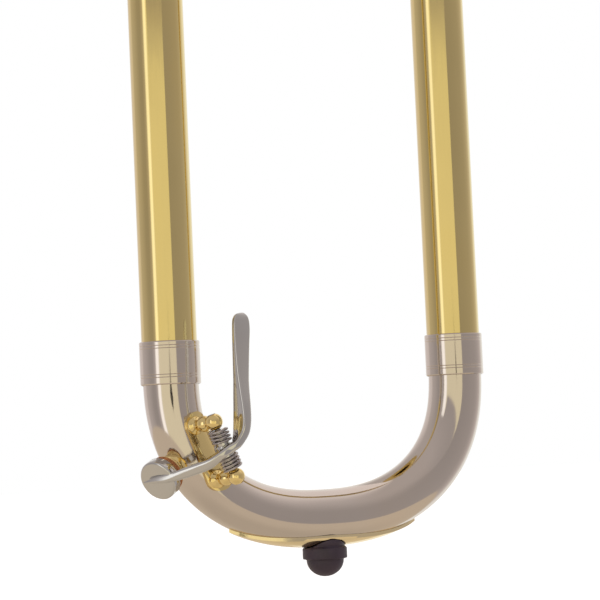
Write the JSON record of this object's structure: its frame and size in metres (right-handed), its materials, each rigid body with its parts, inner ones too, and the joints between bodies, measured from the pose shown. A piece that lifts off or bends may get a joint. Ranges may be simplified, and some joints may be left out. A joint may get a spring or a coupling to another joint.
{
  "type": "bass trombone",
  "caption": "Slide trombone with in-line rotary valves: telescoping hand slide, end bow with sprung water key and bumper, thumb levers, tuning slides and flared bell.",
  "frame": {"origin": "middle of the inner hand brace, where the left hand holds the instrument", "axes": "+Z along the hand slide, away from its end bow; +X from the bell-side slide tube to the mouthpiece-side tube; the bell section lies towards +Y"},
  "size_m": [0.2428, 0.2994, 1.2111],
  "materials": {
    "lacquered_brass": "polished and lacquered",
    "nickel_silver": "polished nickel silver",
    "polished_brass": "polished",
    "spring_steel": "dark wire",
    "rubber": "matt black",
    "cork": "matt cork",
    "felt": "dark felt",
    "silver_plate": "silver plated"
  },
  "bodies": {
    "inner_slide": {"inner_tube_bell_side": "nickel_silver", "inner_tube_mouthpiece_side": "nickel_silver", "cork_barrel_bell_side": "nickel_silver", "cork_barrel_mouthpiece_side": "nickel_silver", "slide_felt_bell_side": "felt", "slide_felt_mouthpiece_side": "felt", "inner_hand_brace": "nickel_silver", "mouthpiece_receiver": "nickel_silver", "slide_tenon": "nickel_silver"},
    "outer_slide": {"outer_tube_bell_side": "lacquered_brass", "outer_tube_mouthpiece_side": "lacquered_brass", "outer_sleeve_bell_side": "nickel_silver", "outer_sleeve_mouthpiece_side": "nickel_silver", "outer_hand_brace": "nickel_silver", "ferrule_bell_side": "nickel_silver", "ferrule_mouthpiece_side": "nickel_silver", "end_bow": "nickel_silver", "bow_guard": "lacquered_brass", "bow_bumper": "rubber", "water_nipple": "polished_brass", "water_key_saddle": "polished_brass", "water_key_screw": "spring_steel", "water_key_spring": "spring_steel"},
    "water_key": {"water_key_lever": "nickel_silver", "water_key_cork": "cork"},
    "slide_lock": {"slide_lock_ring": "nickel_silver"},
    "mouthpiece_body": {"mouthpiece": "silver_plate"},
    "lock_nut": {"bell_lock_nut": "nickel_silver"},
    "bell_section": {"slide_receiver": "nickel_silver", "gooseneck": "lacquered_brass", "valve_link_tube": "lacquered_brass", "main_leg_tube": "lacquered_brass", "narrow_slide_sleeve": "nickel_silver", "wide_slide_sleeve": "nickel_silver", "bell": "lacquered_brass", "front_bell_brace": "nickel_silver", "rear_bell_brace": "nickel_silver", "lever_bracket": "nickel_silver", "lever_pivot_screw": "spring_steel", "first_valve_casing": "lacquered_brass", "first_valve_cap": "nickel_silver", "first_valve_bearing_plate": "nickel_silver", "first_valve_loop_upper_tube": "lacquered_brass", "first_valve_loop_lower_tube": "lacquered_brass", "second_valve_casing": "lacquered_brass", "second_valve_cap": "nickel_silver", "second_valve_bearing_plate": "nickel_silver", "second_valve_loop_upper_tube": "lacquered_brass", "second_valve_loop_lower_tube": "lacquered_brass"},
    "main_tuning_slide": {"main_tuning_crook": "lacquered_brass"},
    "first_valve_tuning_slide": {"first_valve_tuning_crook": "lacquered_brass"},
    "second_valve_tuning_slide": {"second_valve_tuning_crook": "lacquered_brass"},
    "first_valve_rotor_body": {"first_valve_rotor": "nickel_silver", "first_valve_stop_arm": "nickel_silver"},
    "second_valve_rotor_body": {"second_valve_rotor": "nickel_silver", "second_valve_stop_arm": "nickel_silver"},
    "first_valve_lever_body": {"first_valve_thumb_lever": "nickel_silver"},
    "second_valve_lever_body": {"second_valve_thumb_lever": "nickel_silver"},
    "first_valve_rod_body": {"first_valve_rod": "nickel_silver"},
    "second_valve_rod_body": {"second_valve_rod": "nickel_silver"}
  },
  "joints": [
    {"name": "hand_slide", "type": "slide", "parent": "inner_slide", "child": "outer_slide", "axis": [0, 0, -1], "range_m": [0, 0.6]},
    {"name": "water_key_hinge", "type": "hinge", "parent": "outer_slide", "child": "water_key", "pos_m": [-0.03757, -0.01863, -0.6806], "axis": [-0.3616, 0, 0.9323], "range_deg": [0, 20], "stiffness_Nm_per_rad": 0.03, "springref_deg": -28.65},
    {"name": "slide_lock_turn", "type": "hinge", "parent": "inner_slide", "child": "slide_lock", "pos_m": [0.046, 0, -0.0505], "axis": [0, 0, -1], "range_deg": [0, 38]},
    {"name": "mouthpiece_pull", "type": "slide", "parent": "inner_slide", "child": "mouthpiece_body", "axis": [0, 0, 1], "range_m": [0, 0.03]},
    {"name": "lock_nut_turn", "type": "hinge", "parent": "inner_slide", "child": "lock_nut", "pos_m": [-0.046, 0, 0.012], "axis": [0, 0, 1], "continuous": true},
    {"name": "bell_swivel", "type": "hinge", "parent": "inner_slide", "child": "bell_section", "pos_m": [-0.046, 0, 0.03], "axis": [0, 0, 1], "range_deg": [-15, 15]},
    {"name": "main_tuning_pull", "type": "slide", "parent": "bell_section", "child": "main_tuning_slide", "axis": [0, 0, 1], "range_m": [0, 0.05]},
    {"name": "first_valve_tuning_pull", "type": "slide", "parent": "bell_section", "child": "first_valve_tuning_slide", "axis": [0, 0, 1], "range_m": [0, 0.07]},
    {"name": "first_valve_lever_hinge", "type": "hinge", "parent": "bell_section", "child": "first_valve_lever_body", "pos_m": [-0.046, 0.00105, 0.096], "axis": [1, 0, 0], "range_deg": [0, 25.53], "stiffness_Nm_per_rad": 0.15, "springref_deg": -34.38},
    {"name": "first_valve_rod_hinge", "type": "hinge", "parent": "first_valve_lever_body", "child": "first_valve_rod_body", "pos_m": [-0.046, 0.03226, 0.08893], "axis": [1, 0, 0], "range_deg": [-25.54, 0]},
    {"name": "first_valve_rotor_turn", "type": "hinge", "parent": "bell_section", "child": "first_valve_rotor_body", "pos_m": [-0.046, 0.02412, 0.15], "axis": [1, 0, 0], "range_deg": [0, 90.01]},
    {"name": "second_valve_tuning_pull", "type": "slide", "parent": "bell_section", "child": "second_valve_tuning_slide", "axis": [0, 0, 1], "range_m": [0, 0.07]},
    {"name": "second_valve_lever_hinge", "type": "hinge", "parent": "bell_section", "child": "second_valve_lever_body", "pos_m": [-0.046, 0.00105, 0.096], "axis": [1, 0, 0], "range_deg": [0, 25.53], "stiffness_Nm_per_rad": 0.15, "springref_deg": -34.38},
    {"name": "second_valve_rod_hinge", "type": "hinge", "parent": "second_valve_lever_body", "child": "second_valve_rod_body", "pos_m": [-0.046, 0.03226, 0.08893], "axis": [1, 0, 0], "range_deg": [-25.54, 0]},
    {"name": "second_valve_rotor_turn", "type": "hinge", "parent": "bell_section", "child": "second_valve_rotor_body", "pos_m": [-0.046, 0.02412, 0.222], "axis": [1, 0, 0], "range_deg": [0, 90.01]}
  ],
  "couplings": [
    {"joint": "first_valve_rod_hinge", "follows": "first_valve_lever_hinge", "ratio": -1},
    {"joint": "first_valve_rotor_turn", "follows": "first_valve_lever_hinge", "ratio": 3.525},
    {"joint": "second_valve_rod_hinge", "follows": "second_valve_lever_hinge", "ratio": -1},
    {"joint": "second_valve_rotor_turn", "follows": "second_valve_lever_hinge", "ratio": 3.525}
  ]
}
